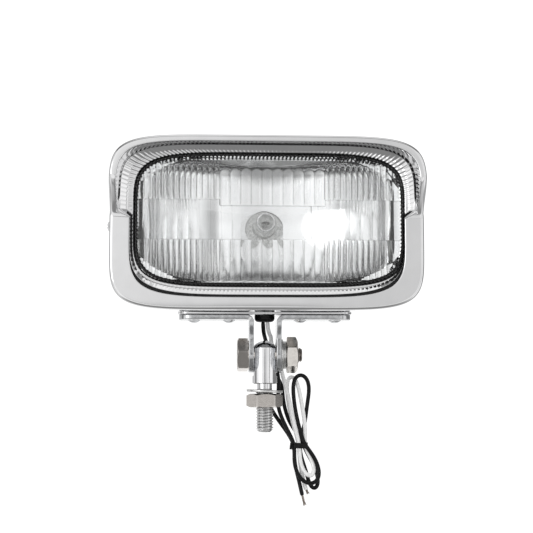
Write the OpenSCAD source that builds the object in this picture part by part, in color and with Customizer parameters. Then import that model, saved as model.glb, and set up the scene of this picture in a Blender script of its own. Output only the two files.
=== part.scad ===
// Rectangular fog light with an eyebrow visor, on a swivel post with a threaded stud.
// The origin is the centre of the post's seat, the face that stands on the vehicle's bracket.
// The lamp faces -Y, +X is to its right as seen from the front, +Z is up.

/* [Lamp] */
// Width of the bezel
bezel_w = 163; // [150:1:176]
// Height of the bezel
bezel_h = 89; // [85:1:94]
// Height of the lamp's centre over the seat
lamp_z = 82; // [80:0.5:88]
// Distance from the post to the bezel's front face
face_y = 35; // [32:0.5:38]
// How far the visor stands in front of the bezel's face
visor_reach = 13; // [8:0.5:18]
// How far the housing reaches behind the post
back_y = 31; // [28:0.5:40]
// Width of the glass lens
lens_w = 137.6; // [125:0.2:140]
// Height of the glass lens
lens_h = 66.8; // [60:0.2:68]
// Height of the lens's centre over the lamp's centre
lens_rise = 3; // [1:0.5:4]
// Thickness of the pressed sheet
sheet = 1.1; // [0.8:0.1:1.4]

/* [Brackets] */
// Thickness of the two angle brackets
bracket_t = 2.6; // [2:0.1:3]
// Reach of each bracket from the middle
bracket_reach = 46; // [42:1:50]
// Depth of the brackets' plates, front to back
plate_depth = 23.4; // [20:0.2:24]
// Radius of the rounded end of each ear
ear_r = 9.5; // [8.5:0.1:9.8]
// Distances of the rivets from the middle
rivet_x = [19.2, 38];

/* [Post and stud] */
// Diameter of the post
post_d = 13.4; // [13:0.1:14]
// Width across the two flats between the ears
post_flats = 12; // [11:0.1:12.4]
// Height of the pivot over the seat
pivot_z = 15.5; // [15:0.5:18]
// Diameter of the stud over its thread
stud_d = 9.6; // [8:0.1:10]
// Length of the stud below the seat
stud_len = 25.7; // [22:0.1:34]
// Width across the flats of the hexagons
hex_af = 17; // [16:0.5:18]

/* [Hardware] */
// Diameter of the pivot bolt
bolt_d = 8; // [7:0.1:8.4]
// Diameter of the leads
lead_d = 2.2; // [1.6:0.1:2.4]

/* [Hidden] */
$fn = 64;

// Steps round each bowed outline
ROUND = 96;
COARSE = 64;
// Shape numbers of the bowed rectangles: the higher, the squarer
BEZEL_N = 6.3;
LENS_N = 5;

lens_z = lamp_z + lens_rise;
bulb_z = lens_z + 1;
skirt_y = -12;
lens_front = -face_y + 2;
lens_back = lens_front + 3.5;
seat_a = lens_w / 2 + 1.4;
seat_b = lens_h / 2 + 1.3;
open_a = bezel_w / 2 - 10.8;
open_b = bezel_h / 2 - 6.9;
lip = 4;
visor_low = lamp_z + 4.5;
visor_full = lamp_z + 23;

plate_top = lamp_z - bezel_h / 2 - 0.8;
plate_low = plate_top - bracket_t;
pad_top = lamp_z - bezel_h / 2 + 2.5;
ear_gap = post_flats / 2 + 0.1;
ear_out = ear_gap + bracket_t;
rivet_r = 2;
screw_y = -21;
earth_x = -28;

running = 0.06;
washer_t = 1.3;
washer_tilt = 2.4;
neck_len = 2.6;
nut_top = -5.3;
nut_h = 7.2;
// Where the stud's free stretch starts, marked by a shallow groove under the nut
free_z = nut_top - nut_h - 0.6;

lead_r = lead_d / 2;
exit_z = plate_top - 3.5;
hank_front = 10.8;
hank_back = 17.4;
hank_top = 7;
hank_low = -55.6;
tie_low = -35;
tie_high = -31.8;
tie_left = 15.6;
tie_right = 24.2;

// ---- outlines and lofts -------------------------------------------------------------

// The turn of step i of n, with the steps drawn in towards the corners
function turn(i, n) = let(u = 360 * i / n) u + 10 * sin(4 * u);

// A point on a bowed rectangle of half sizes a and b
function bowed(a, b, n, t) =
    let(c = cos(t), s = sin(t), k = pow(pow(abs(c), n) + pow(abs(s), n), -1 / n))
    [a * c * k, b * s * k];

function outline(a, b, n, steps) = [for (i = [0 : steps - 1]) bowed(a, b, n, turn(i, steps))];

// A closed ring of points at one depth
function ring(a, b, n, y, z, steps) =
    [for (p = outline(a, b, n, steps)) [p[0], y, z + p[1]]];

function mix(p, q, f) = p * (1 - f) + q * f;
function ease(f) = let(g = min(1, max(0, f))) g * g * (3 - 2 * g);

// Skin between neighbouring rings, which all run the same way round
function band_faces(k, m, n) = [
    for (i = [0 : n - 1]) let(j = (i + 1) % n)
        each [[k * n + i, m * n + i, m * n + j], [k * n + i, m * n + j, k * n + j]]
];

// A solid whose section is the closed chain of rings
module loft_loop(rings) {
    n = len(rings[0]);
    count = len(rings);
    polyhedron(
        points = [for (r = rings) each r],
        faces = [for (k = [0 : count - 1]) each band_faces(k, (k + 1) % count, n)]
    );
}

function middle(r) = let(n = len(r), ones = [for (p = r) 1]) ones * r / n;

// A solid closed by flat ends, fans about the middles of its first and last ring
module loft_solid(rings) {
    n = len(rings[0]);
    count = len(rings);
    end = count * n;
    polyhedron(
        points = concat(
            [for (r = rings) each r],
            [middle(rings[0]), middle(rings[count - 1])]
        ),
        faces = concat(
            [for (k = [0 : count - 2]) each band_faces(k, k + 1, n)],
            [for (i = [0 : n - 1]) [i, (i + 1) % n, end]],
            [for (i = [0 : n - 1]) [end - n + (i + 1) % n, end - n + i, end + 1]]
        )
    );
}

// A bowed rectangular plate from one depth to another
module bowed_plate(a, b, n, y0, y1, z) {
    translate([0, y1, z])
        rotate([90, 0, 0])
            linear_extrude(y1 - y0)
                polygon(outline(a, b, n, ROUND));
}

// A cylinder along X from x0 to x1
module rod_x(r, x0, x1, y = 0, z = 0) {
    translate([x0, y, z])
        rotate([0, 90, 0])
            cylinder(r = r, h = x1 - x0);
}

// A cylinder along Y from y0 to y1
module rod_y(r, y0, y1, x = 0, z = 0) {
    translate([x, y1, z])
        rotate([90, 0, 0])
            cylinder(r = r, h = y1 - y0);
}

// A hexagon prism from z = 0 to h with both ends chamfered
module hexagon(af, h, chamfer_low = 1, chamfer_high = 1) {
    r = af / sqrt(3);
    bevel = r - af / 2 + 0.35;
    drop = bevel * 0.55;
    intersection() {
        cylinder(r = r, h = h, $fn = 6);
        rotate_extrude()
            polygon([
                [0, 0],
                [r - bevel * chamfer_low, 0],
                [r + 0.01, drop * chamfer_low],
                [r + 0.01, h - drop * chamfer_high],
                [r - bevel * chamfer_high, h],
                [0, h]
            ]);
    }
}

// A tube along a smooth curve through the route's points
function curve_point(p, i, f) =
    let(
        a = p[max(0, i - 1)], b = p[i], c = p[i + 1], d = p[min(len(p) - 1, i + 2)]
    )
    0.5 * (2 * b + (c - a) * f + (2 * a - 5 * b + 4 * c - d) * f * f
        + (3 * b - a - 3 * c + d) * f * f * f);

function curve(p, steps) = concat(
    [for (i = [0 : len(p) - 2]) for (k = [0 : steps - 1]) curve_point(p, i, k / steps)],
    [p[len(p) - 1]]
);

function unit(v) = v / norm(v);

module tube(route, r, first, last, steps = 2, sides = 8) {
    p = curve(route, steps);
    count = len(p);
    dirs = [for (i = [0 : count - 1])
        i == 0 ? first : i == count - 1 ? last : unit(p[i + 1] - p[i - 1])];
    rings = [for (i = [0 : count - 1])
        let(u = unit(cross(dirs[i], [1, 0.13, 0.07])), v = cross(dirs[i], u))
        [for (k = [0 : sides - 1])
            p[i] + r * cos(360 * k / sides) * u + r * sin(360 * k / sides) * v]];
    loft_solid(rings);
}

// ---- the lamp -----------------------------------------------------------------------

// How much of the visor there is at a height: none low down, all of it at the top
function visor_at(z) = ease((z - visor_low) / (visor_full - visor_low));

// One point of the bezel's sheet: the plain frame's point and the visor's point, mixed
function bezel_point(t, low, high) =
    let(
        rim = bowed(bezel_w / 2, bezel_h / 2, BEZEL_N, t),
        v = visor_at(lamp_z + rim[1]),
        p = bowed(low[0], low[1], low[2], t),
        q = bowed(high[0], high[1], high[2], t)
    )
    mix([p[0], low[3], low[4] + p[1]], [q[0], high[3], high[4] + q[1]], v);

function bezel_ring(low, high) =
    [for (i = [0 : ROUND - 1]) bezel_point(turn(i, ROUND), low, high)];

// A station at a given inset from the bezel's rim: half sizes, shape, depth and height
function inset(d, y) = [bezel_w / 2 - d, bezel_h / 2 - d, BEZEL_N, y, lamp_z];
function opening(d, y) = [open_a + d, open_b + d, 5.2, y, lamp_z];
function seat(d, y) = [seat_a + d, seat_b + d, LENS_N, y, lens_z];

module visor_bezel() {
    front = -face_y;
    tip = front - visor_reach;
    color("gainsboro")
        difference() {
            loft_loop([
                bezel_ring(inset(0, skirt_y), inset(0, skirt_y)),
                bezel_ring(inset(0, front + 2), inset(0.8, tip + 2)),
                bezel_ring(inset(0.5, front + 0.5), inset(1.3, tip + 0.5)),
                bezel_ring(inset(1.6, front), inset(2.2, tip)),
                bezel_ring(opening(0, front), inset(lip, tip)),
                bezel_ring(opening(-0.6, front + 0.8), inset(lip + 0.5, tip + 1)),
                bezel_ring(mix(opening(0, front), seat(0, front + 5), 0.6), inset(6.4, front - 4)),
                bezel_ring(seat(0, front + 5), seat(0, front + 5)),
                bezel_ring(seat(1, front + 6), seat(1, front + 6)),
                bezel_ring(opening(0.6, front + 4), inset(5.4, front - 3)),
                bezel_ring(opening(0.9, front + sheet), inset(lip - 0.6, tip + sheet + 0.2)),
                bezel_ring(inset(sheet + 0.5, front + sheet), inset(sheet + 1, tip + sheet)),
                bezel_ring(inset(sheet, front + 2), inset(sheet + 0.8, tip + 2)),
                bezel_ring(inset(sheet, skirt_y), inset(sheet, skirt_y))
            ]);
            rod_x(2.1, -bezel_w, bezel_w, screw_y, lamp_z);
        }
}

module rear_housing() {
    a = bezel_w / 2 - sheet - 0.2;
    b = bezel_h / 2 - sheet - 0.2;
    // Each station: insets from the rim's half sizes, shape number and depth
    outer = [
        [0.6, 0.6, BEZEL_N, -face_y + 6], [0, 0, BEZEL_N, skirt_y], [0, 0, BEZEL_N, 6.4],
        [0.6, 0.6, 6, 9.6], [3, 2.6, 5.4, 14.4], [8.4, 7, 4.8, back_y - 10],
        [17, 14, 4.2, back_y - 4.2], [26, 20, 4, back_y - 1], [32, 24, 4, back_y]
    ];
    color("silver")
        difference() {
            union() {
                loft_solid(concat(
                    [for (k = [len(outer) - 1 : -1 : 0]) let(s = outer[k])
                        ring(a - s[0], b - s[1], s[2], s[3], lamp_z, ROUND)],
                    [for (s = outer)
                        ring(a - s[0] - sheet, b - s[1] - sheet, s[2],
                            s[3] - sheet * s[0] / 20, lamp_z, ROUND)]
                ));
                translate([-50, skirt_y + 0.4, plate_top])
                    cube([100, 24.6, pad_top - plate_top]);
            }
            for (side = [-1, 1])
                for (x = rivet_x)
                    translate([side * x, 0, plate_top - 1])
                        cylinder(r = rivet_r + 0.1, h = 8);
            translate([0, 0, plate_top - 1])
                cylinder(r = 4.05, h = 8);
            translate([earth_x, 0, plate_top + 0.8])
                cylinder(r = 2.05, h = 8);
            rod_x(2.1, -bezel_w, bezel_w, screw_y, lamp_z);
        }
}

module lens() {
    color([0.85, 0.9, 0.92, 0.5])
        bowed_plate(lens_w / 2, lens_h / 2, LENS_N, lens_front, lens_back, lens_z);
}

module lens_gasket() {
    color("black")
        difference() {
            bowed_plate(seat_a - 0.2, seat_b - 0.2, LENS_N, lens_front + 1, lens_back + 1.5, lens_z);
            bowed_plate(lens_w / 2, lens_h / 2, LENS_N, lens_front, lens_back, lens_z);
            bowed_plate(lens_w / 2 - 2.3, lens_h / 2 - 2.2, LENS_N, lens_front, lens_back + 2, lens_z);
        }
}

module reflector() {
    mouth = lens_back + 1.5;
    // Half sizes, shape number and depth of the bright inner face, mouth to bulb hole
    inner = [
        [66.6, 31.4, LENS_N, mouth], [58, 29, 4, mouth + 8], [46, 26, 3.2, mouth + 17],
        [34, 22, 2.5, mouth + 25], [22, 17, 2.1, mouth + 31], [10, 10, 2, mouth + 36]
    ];
    color("whitesmoke")
        loft_loop(concat(
            [ring(seat_a - 0.2, seat_b - 0.2, LENS_N, mouth, lens_z, COARSE)],
            [for (s = inner) ring(s[0], s[1], s[2], s[3], lens_z, COARSE)],
            [for (k = [len(inner) - 1 : -1 : 1]) let(s = inner[k])
                ring(s[0] + 0.9, s[1] + 0.9, s[2], s[3] + 0.9, lens_z, COARSE)],
            [ring(67.6, 32.4, LENS_N, mouth + 1.2, lens_z, COARSE)],
            [ring(seat_a - 0.2, seat_b - 0.2, LENS_N, mouth + 1.2, lens_z, COARSE)]
        ));
}

module lens_clips() {
    y = lens_back + 2.8;
    color("darkgray")
        for (side = [-1, 1])
            for (end = [[lens_z + 32.2, lamp_z + bezel_h / 2 - 3.2],
                        [lamp_z - bezel_h / 2 + 3.2, lens_z - 32.2]])
                translate([side * 42 - 4, y, end[0]])
                    cube([8, 0.8, end[1] - end[0]]);
}

bulb_front = -17;
seat_y = lens_back + 38.5;

module bulb_glass() {
    color([0.95, 0.95, 0.95, 0.4])
        translate([0, 0, bulb_z])
            rotate([90, 0, 0])
                rotate_extrude()
                    polygon(concat(
                        [for (k = [0 : 6]) let(t = 15 * k)
                            [5.2 * cos(t), -bulb_front - 5.2 + 5.2 * sin(t)]],
                        [for (k = [6 : -1 : 0]) let(t = 15 * k)
                            [4.6 * cos(t), -bulb_front - 5.2 + 4.6 * sin(t)]],
                        [[4.6, 0], [5.2, 0]]
                    ));
}

module bulb_filament() {
    color("dimgray")
        translate([0, 0, bulb_z]) {
            rod_x(0.7, -2.6, 2.6, -8.6);
            for (x = [-2.2, 2.2])
                rod_y(0.35, -8.6, 0, x);
        }
}

module bulb_base() {
    color("silver")
        translate([0, 0, bulb_z])
            rotate([-90, 0, 0])
                rotate_extrude()
                    polygon([
                        [0, 0], [6.2, 0], [6.2, seat_y + 1.2], [10.5, seat_y + 1.2],
                        [10.5, seat_y + 2.4], [3, seat_y + 2.4], [3, seat_y + 6.6],
                        [0, seat_y + 6.6]
                    ]);
}

module bulb_holder() {
    color("darkgray")
        difference() {
            rod_y(14, seat_y, seat_y + 1.2, 0, bulb_z);
            rod_y(6.3, seat_y - 1, seat_y + 2, 0, bulb_z);
        }
}

// A bent spring wire that presses the bulb's flange on its seat
module bulb_clip() {
    wire = 0.6;
    y = seat_y + 2.4 + wire + 0.02;
    color("gray")
        translate([0, y, bulb_z]) {
            rotate([90, 0, 0])
                rotate_extrude(angle = 180)
                    translate([8, 0])
                        circle(r = wire);
            for (x = [-8, 8])
                translate([x, 0, -13])
                    cylinder(r = wire, h = 13);
            rod_x(wire, -8, 8, 0, -13);
        }
}

module bulb_wire() {
    color("white")
        tube([
            [0, seat_y + 6.6, bulb_z], [0, 20, 85], [1, 22, 80], [2, 22, 68],
            [2.4, 17, 56], [2, 8, 48], [1.6, 1.6, 45], [1.6, 0, pad_top + 1.5]
        ], lead_r, [0, 1, 0], [0, 0, -1]);
}

module earth_wire() {
    color("black")
        tube([
            [-0.8, 0, pad_top + 1.5], [-1.2, 0, 43.6], [-6, 0, 46], [-14, 0, 46.4],
            [-20, 0, 44.6], [earth_x + 4.4, 0, pad_top + 1.2]
        ], lead_r, [0, 0, 1], [-1, 0, 0]);
}

module earth_terminal() {
    color("silver")
        translate([earth_x, 0, pad_top])
            difference() {
                union() {
                    cylinder(r = 3.8, h = 0.8);
                    translate([3, -1.8, 0])
                        cube([1.4, 3.6, 2.3]);
                }
                translate([0, 0, -1])
                    cylinder(r = 2.2, h = 3);
            }
}

module earth_screw() {
    color("silver")
        translate([earth_x, 0, 0]) {
            translate([0, 0, plate_top + 1])
                cylinder(r = 2, h = pad_top - plate_top);
            translate([0, 0, pad_top + 0.8])
                cylinder(r1 = 2.9, r2 = 2.4, h = 1.8);
        }
}

module bezel_screws() {
    color("silver")
        for (side = [-1, 1])
            translate([side * (bezel_w / 2 - 6), screw_y, lamp_z])
                rotate([0, side * 90, 0])
                    rotate_extrude()
                        polygon(concat(
                            [[0, 0], [1.9, 0], [1.9, 6], [3.4, 6]],
                            arc(1.6, 6.2, 1.8, 0, 90, 4),
                            [[0, 8]]
                        ));
}

module bezel_nut_clips() {
    x = bezel_w / 2 - 2 * sheet - 1.1;
    color("dimgray")
        for (side = [-1, 1])
            difference() {
                translate([side * (x - 0.6) - 0.6, screw_y - 5, lamp_z - 5])
                    cube([1.2, 9, 10]);
                rod_x(1.95, -bezel_w, bezel_w, screw_y, lamp_z);
            }
}

module wire_grommet() {
    color("black")
        difference() {
            rotate_extrude()
                polygon(concat(
                    [[0, exit_z], [3.4, exit_z]],
                    [for (k = [0 : 5]) let(t = 18 * k)
                        [3.4 + 2 * sin(t), plate_top - 1.4 - 2.1 * cos(t)]],
                    [[5.4, plate_top], [4, plate_top], [4, pad_top], [5.2, pad_top],
                     [5.2, pad_top + 1.5], [0, pad_top + 1.5]]
                ));
            for (x = [-0.8, 1.6])
                translate([x, 0, exit_z + 0.6])
                    cylinder(r = lead_r, h = pad_top - plate_top + 3.8);
        }
}

// ---- brackets and pivot -------------------------------------------------------------

function arc(cx, cz, r, from, to, steps) =
    [for (k = [0 : steps]) let(t = from + (to - from) * k / steps) [cx + r * cos(t), cz + r * sin(t)]];

// The angle bracket on the right, bent down beside the post
module bracket() {
    bend = 1.4;
    low = pivot_z - ear_r - 1;
    mid = ear_out + bend;
    half = plate_depth / 2;
    difference() {
        intersection() {
            rotate([90, 0, 0])
                linear_extrude(plate_depth, center = true)
                    polygon(concat(
                        [[bracket_reach, plate_top]],
                        arc(mid, plate_low - bend, bend + bracket_t, 90, 180, 6),
                        [[ear_gap, low], [ear_out, low]],
                        arc(mid, plate_low - bend, bend, 180, 90, 4),
                        [[bracket_reach, plate_low]]
                    ));
            union() {
                rod_x(ear_r, 0, ear_out + 1, 0, pivot_z);
                rotate([90, 0, 90])
                    linear_extrude(bracket_reach + 1)
                        polygon([
                            [-ear_r, pivot_z], [ear_r, pivot_z], [ear_r, plate_low - 10],
                            [half, plate_low - 3], [half, plate_top + 1],
                            [-half, plate_top + 1], [-half, plate_low - 3], [-ear_r, plate_low - 10]
                        ]);
            }
            linear_extrude(2 * plate_top, center = true)
                polygon(concat(
                    [[0, -half]],
                    arc(bracket_reach - 7, -half + 7, 7, -90, 0, 8),
                    arc(bracket_reach - 7, half - 7, 7, 0, 90, 8),
                    [[0, half]]
                ));
        }
        rod_x(bolt_d / 2 + 0.1, 0, ear_out + 2, 0, pivot_z);
        for (x = rivet_x)
            translate([x, 0, plate_low - 1])
                cylinder(r = rivet_r + 0.1, h = bracket_t + 2);
    }
}

module bracket_right() {
    color("lightgray") bracket();
}

module bracket_left() {
    color("lightgray")
        mirror([1, 0, 0])
            bracket();
}

module bracket_rivets() {
    head_r = 3.4;
    head_h = 1.5;
    ball = (head_r * head_r + head_h * head_h) / (2 * head_h);
    color("silver")
        for (side = [-1, 1])
            for (x = rivet_x)
                translate([side * x, 0, 0]) {
                    translate([0, 0, plate_low])
                        cylinder(r = rivet_r, h = pad_top - plate_low);
                    translate([0, 0, pad_top])
                        cylinder(r1 = 3, r2 = 2.6, h = 1.2);
                    intersection() {
                        translate([0, 0, plate_low - head_h])
                            cylinder(r = head_r, h = head_h);
                        translate([0, 0, plate_low - head_h + ball])
                            sphere(r = ball);
                    }
                }
}

module pivot_bolt() {
    head = 5.8;
    shank = 2 * ear_out + 11.6;
    color("tan")
        translate([0, 0, pivot_z]) {
            translate([-ear_out - 1, 0, 0])
                rotate([0, 90, 0])
                    rotate_extrude()
                        polygon([
                            [0, 0], [7.8, 0], [7.8, 1], [bolt_d / 2, 1],
                            [bolt_d / 2, shank], [bolt_d / 2 - 0.7, shank + 0.8], [0, shank + 0.8]
                        ]);
            translate([-ear_out - 0.4 - head, 0, 0])
                rotate([0, 90, 0])
                    rotate([0, 0, 30])
                        hexagon(hex_af - 0.6, head, 1, 0.2);
        }
}

module pivot_flat_washer() {
    color("silver")
        translate([0, 0, pivot_z])
            difference() {
                rod_x(8.6, ear_out, ear_out + 1.2);
                rod_x(bolt_d / 2 + 0.2, 0, ear_out + 3);
            }
}

module pivot_lock_washer() {
    color("gray")
        translate([0, 0, pivot_z])
            difference() {
                rod_x(7.4, ear_out + 1.2, ear_out + 3);
                rod_x(bolt_d / 2 + 0.2, 0, ear_out + 4);
                translate([ear_out + 2.1, 0, 6])
                    rotate([0, 0, 25])
                        cube([6, 1, 6], center = true);
            }
}

module pivot_nut() {
    color("tan")
        translate([ear_out + 3, 0, pivot_z])
            difference() {
                rotate([0, 90, 0])
                    rotate([0, 0, 30])
                        hexagon(hex_af, 6, 0.4, 1);
                rod_x(bolt_d / 2 + running, -1, 7);
            }
}

module swivel_post() {
    r = post_d / 2;
    ball = 7.7;
    stud_r = stud_d / 2;
    color("gainsboro")
        difference() {
            union() {
                intersection() {
                    union() {
                        rotate_extrude()
                            polygon([
                                [0, 0], [r - 0.5, 0], [r, 0.5], [r, pivot_z + 2], [0, pivot_z + 2]
                            ]);
                        intersection() {
                            translate([0, 0, pivot_z])
                                cylinder(r = r, h = ball + 1);
                            translate([0, 0, pivot_z])
                                sphere(r = ball);
                        }
                    }
                    union() {
                        translate([-r, -r, -1])
                            cube([2 * r, 2 * r, 5.5]);
                        translate([-post_flats / 2, -r, 4])
                            cube([post_flats, 2 * r, pivot_z + ball]);
                    }
                }
                translate([0, 0, -neck_len - 0.5])
                    cylinder(r = 4.05, h = neck_len + 1);
                rotate_extrude()
                    polygon([
                        [0, -stud_len], [stud_r - 1.3, -stud_len], [stud_r, -stud_len + 1.4],
                        [stud_r, free_z], [stud_r - 0.4, free_z + 0.2],
                        [stud_r - 0.4, free_z + 0.4], [stud_r, free_z + 0.6],
                        [stud_r, -neck_len - 0.4], [stud_r - 0.6, -neck_len], [0, -neck_len]
                    ]);
            }
            rod_x(bolt_d / 2 + running, -r - 1, r + 1, 0, pivot_z);
        }
}

module stud_washer() {
    color("silver")
        translate([0, 0, -3.9])
            rotate([0, washer_tilt, 0])
                difference() {
                    cylinder(r = 9.8, h = washer_t, center = true);
                    cylinder(r = stud_d / 2 + 0.5, h = 4, center = true);
                }
}

module stud_nut() {
    color("tan")
        translate([0, 0, nut_top - nut_h])
            rotate([0, 0, 10])
                difference() {
                    hexagon(hex_af, nut_h, 1, 1);
                    translate([0, 0, -1])
                        cylinder(r = stud_d / 2 + running, h = nut_h + 2);
                }
}

// ---- the leads ----------------------------------------------------------------------

// Routes from the grommet, behind the post's ball, to the top of the tied hank
black_route = [
    [-0.8, 0, exit_z], [-0.7, 0.5, 30.5], [-0.3, 2.4, 27.6], [0.4, 5.6, 25.2],
    [1.6, 9.4, 22.2], [3.8, 12.2, 17.5], [6.4, 13.2, 12], [7.6, 13.2, hank_top]
];
white_route = [
    [1.6, 0, exit_z], [1.8, 0.5, 30.5], [2.6, 2.6, 27.6], [3.8, 6.4, 25.2],
    [4.4, 10.6, 22.2], [6.6, 13.4, 17.5], [9.2, 14.6, 12], [10.4, 14.8, hank_top]
];
black_tail = [[20.2, 13, hank_low], [20.6, 13, -58], [21.2, 13, -60.4]];
white_tail = [[22.8, 15.4, hank_low], [23.2, 15.4, -56.6], [23.6, 15.4, -57.6]];

module black_lead() {
    color("black")
        tube(black_route, lead_r, [0, 0, -1], [0, 0, -1]);
}

module white_lead() {
    color("white")
        tube(white_route, lead_r, [0, 0, -1], [0, 0, -1]);
}

// The folded and tied length of both leads, as one plain body
module lead_hank() {
    color("dimgray")
        translate([0, hank_back, 0])
            rotate([90, 0, 0])
                linear_extrude(hank_back - hank_front)
                    polygon(concat(
                        [[6.2, hank_top]],
                        arc(22.4, hank_top - 4.6, 4.6, 90, 0, 6),
                        [[25.8, -12], [tie_right, tie_high + 0.2], [tie_right, tie_low - 0.2]],
                        arc(27.4, -50.6, 5, 20, -90, 8),
                        arc(20.4, -50.6, 5, -90, -180, 6),
                        [[tie_left, tie_low - 0.2], [tie_left, tie_high + 0.2]],
                        [[8.6, -20], [6.2, -12]]
                    ));
}

module lead_tie() {
    wall = 0.7;
    color("black")
        translate([0, 0, tie_low])
            difference() {
                translate([tie_left - wall, hank_front - wall, 0])
                    cube([
                        tie_right - tie_left + 2 * wall,
                        hank_back - hank_front + 2 * wall,
                        tie_high - tie_low
                    ]);
                translate([tie_left, hank_front, -1])
                    cube([tie_right - tie_left, hank_back - hank_front, 8]);
            }
}

module black_lead_tail() {
    color("black")
        tube(black_tail, lead_r, [0, 0, -1], unit([0.5, 0, -2]));
}

module white_lead_tail() {
    color("white")
        tube(white_tail, lead_r, [0, 0, -1], unit([0.4, 0, -1]));
}

// A stripped end: the bare strands beyond the insulation
module strands(from, direction, length) {
    tube([from, from + direction * length / 2, from + direction * length], 0.7, direction, direction);
}

module black_conductor() {
    color("peru")
        strands(black_tail[2], unit([0.5, 0, -2]), 6);
}

module white_conductor() {
    color("peru")
        strands(white_tail[2], unit([0.4, 0, -1]), 2.6);
}

visor_bezel();
rear_housing();
lens();
lens_gasket();
reflector();
lens_clips();
bulb_glass();
bulb_filament();
bulb_base();
bulb_holder();
bulb_clip();
bulb_wire();
earth_wire();
earth_terminal();
earth_screw();
bezel_screws();
bezel_nut_clips();
wire_grommet();
bracket_left();
bracket_right();
bracket_rivets();
pivot_bolt();
pivot_flat_washer();
pivot_lock_washer();
pivot_nut();
swivel_post();
stud_washer();
stud_nut();
black_lead();
white_lead();
lead_hank();
lead_tie();
black_lead_tail();
white_lead_tail();
black_conductor();
white_conductor();
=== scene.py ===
"""Looks of the rectangular fog light: visored chrome lamp, swivel post, hardware and tied leads."""

import math

import bmesh
import bpy
import numpy as np
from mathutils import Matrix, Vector


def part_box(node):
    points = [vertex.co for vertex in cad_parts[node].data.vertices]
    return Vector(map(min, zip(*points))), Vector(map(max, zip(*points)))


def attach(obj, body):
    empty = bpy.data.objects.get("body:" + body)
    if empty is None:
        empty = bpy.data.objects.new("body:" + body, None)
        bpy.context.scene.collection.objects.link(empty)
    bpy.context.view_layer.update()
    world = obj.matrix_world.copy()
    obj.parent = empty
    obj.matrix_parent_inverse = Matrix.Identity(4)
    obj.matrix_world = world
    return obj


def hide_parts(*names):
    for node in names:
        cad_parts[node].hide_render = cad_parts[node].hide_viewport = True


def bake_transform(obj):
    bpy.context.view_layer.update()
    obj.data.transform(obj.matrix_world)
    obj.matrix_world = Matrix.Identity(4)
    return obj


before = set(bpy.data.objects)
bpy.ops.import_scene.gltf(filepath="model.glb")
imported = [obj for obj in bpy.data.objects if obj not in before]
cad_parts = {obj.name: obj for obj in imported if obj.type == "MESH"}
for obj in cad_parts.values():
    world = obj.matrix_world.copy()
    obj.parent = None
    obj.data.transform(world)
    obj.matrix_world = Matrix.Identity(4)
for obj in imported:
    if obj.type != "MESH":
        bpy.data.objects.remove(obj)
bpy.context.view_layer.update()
MM = 0.001
scene = bpy.context.scene


# ---- camera --------------------------------------------------------------

camera_data = bpy.data.cameras.new("camera")
camera = bpy.data.objects.new("camera", camera_data)
scene.collection.objects.link(camera)
scene.camera = camera
camera_data.sensor_width = 36
camera_data.lens = 79.4
camera.location = (-0.030, -0.635, 0.0)
YAW, PITCH = math.radians(2.8), math.radians(5.7)
sight = Vector((math.sin(YAW) * math.cos(PITCH), math.cos(YAW) * math.cos(PITCH), math.sin(PITCH)))
camera.rotation_euler = sight.to_track_quat("-Z", "Y").to_euler()
scene.view_settings.view_transform = "Standard"


# ---- sizes, the CAD's own, in mm -----------------------------------------

LAMP_Z, LENS_Z, BULB_Z = 82.0, 84.7, 86.0
BEZEL_A, BEZEL_B, BEZEL_N = 81.5, 44.5, 6.3
LENS_A, LENS_B, LENS_N = 68.6, 33.4, 5.0
SEAT_A, SEAT_B = 69.8, 34.3
SEAT_X, LENS_X = 1.2, 1.2  # the lens sits a little to the right in its opening
OPEN_A, OPEN_B = 71.1, 37.6
FRONT, TIP, SKIRT = -35.0, -48.0, -12.0
SHEET = 1.1
PLATE_TOP, PLATE_LOW, PAD_TOP = 36.7, 34.1, 40.0
PIVOT_Z, EAR_R, EAR_OUT = 15.5, 9.5, 8.7
POST_R, FLAT, BALL_R = 6.7, 6.0, 7.7
STUD_R, STUD_END, NECK_R, NECK_Z = 4.8, -25.7, 4.05, -2.6
PITCH_MM = 1.5
LEAD_R = 1.1
BACK_Y = 31  # the housing's rearmost face
RIB_COUNT = 188  # pressed ribs round the lens ring


# ---- mesh helpers --------------------------------------------------------


def chain(rows, cols, closed=False, round_way=True):
    """Quads of a grid of rows, each with cols points."""
    faces = []
    for i in range(rows if closed else rows - 1):
        k = (i + 1) % rows
        for j in range(cols if round_way else cols - 1):
            m = (j + 1) % cols
            faces.append((i * cols + j, i * cols + m, k * cols + m, k * cols + j))
    return faces


def loft(rings, closed=False, caps=True):
    """A skin through rings of equal counts, closed on itself or by fans at its ends."""
    rows, cols = len(rings), len(rings[0])
    points = [np.asarray(r, float) for r in rings]
    faces = chain(rows, cols, closed)
    if caps and not closed:
        count = rows * cols
        points += [points[0].mean(0)[None], points[-1].mean(0)[None]]
        last = (rows - 1) * cols
        faces += [(j, count, (j + 1) % cols) for j in range(cols)]
        faces += [(last + j, last + (j + 1) % cols, count + 1) for j in range(cols)]
    return np.concatenate(points), faces


def circle(r, z, steps):
    t = np.linspace(0, 2 * math.pi, steps, endpoint=False)
    return np.stack([r * np.cos(t), r * np.sin(t), np.full(steps, z)], 1)


def revolve(profile, steps=64, closed=False):
    rings = [circle(max(r, 1e-4), z, steps) for r, z in profile]
    return loft(rings, closed=closed, caps=not closed)


def rod(r, length, steps):
    return revolve([(0, 0), (r, 0), (r, length), (0, length)], steps)


def arc(cr, cz, r, start, end, steps):
    return [
        (cr + r * math.cos(math.radians(t)), cz + r * math.sin(math.radians(t)))
        for t in np.linspace(start, end, steps)
    ]


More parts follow.
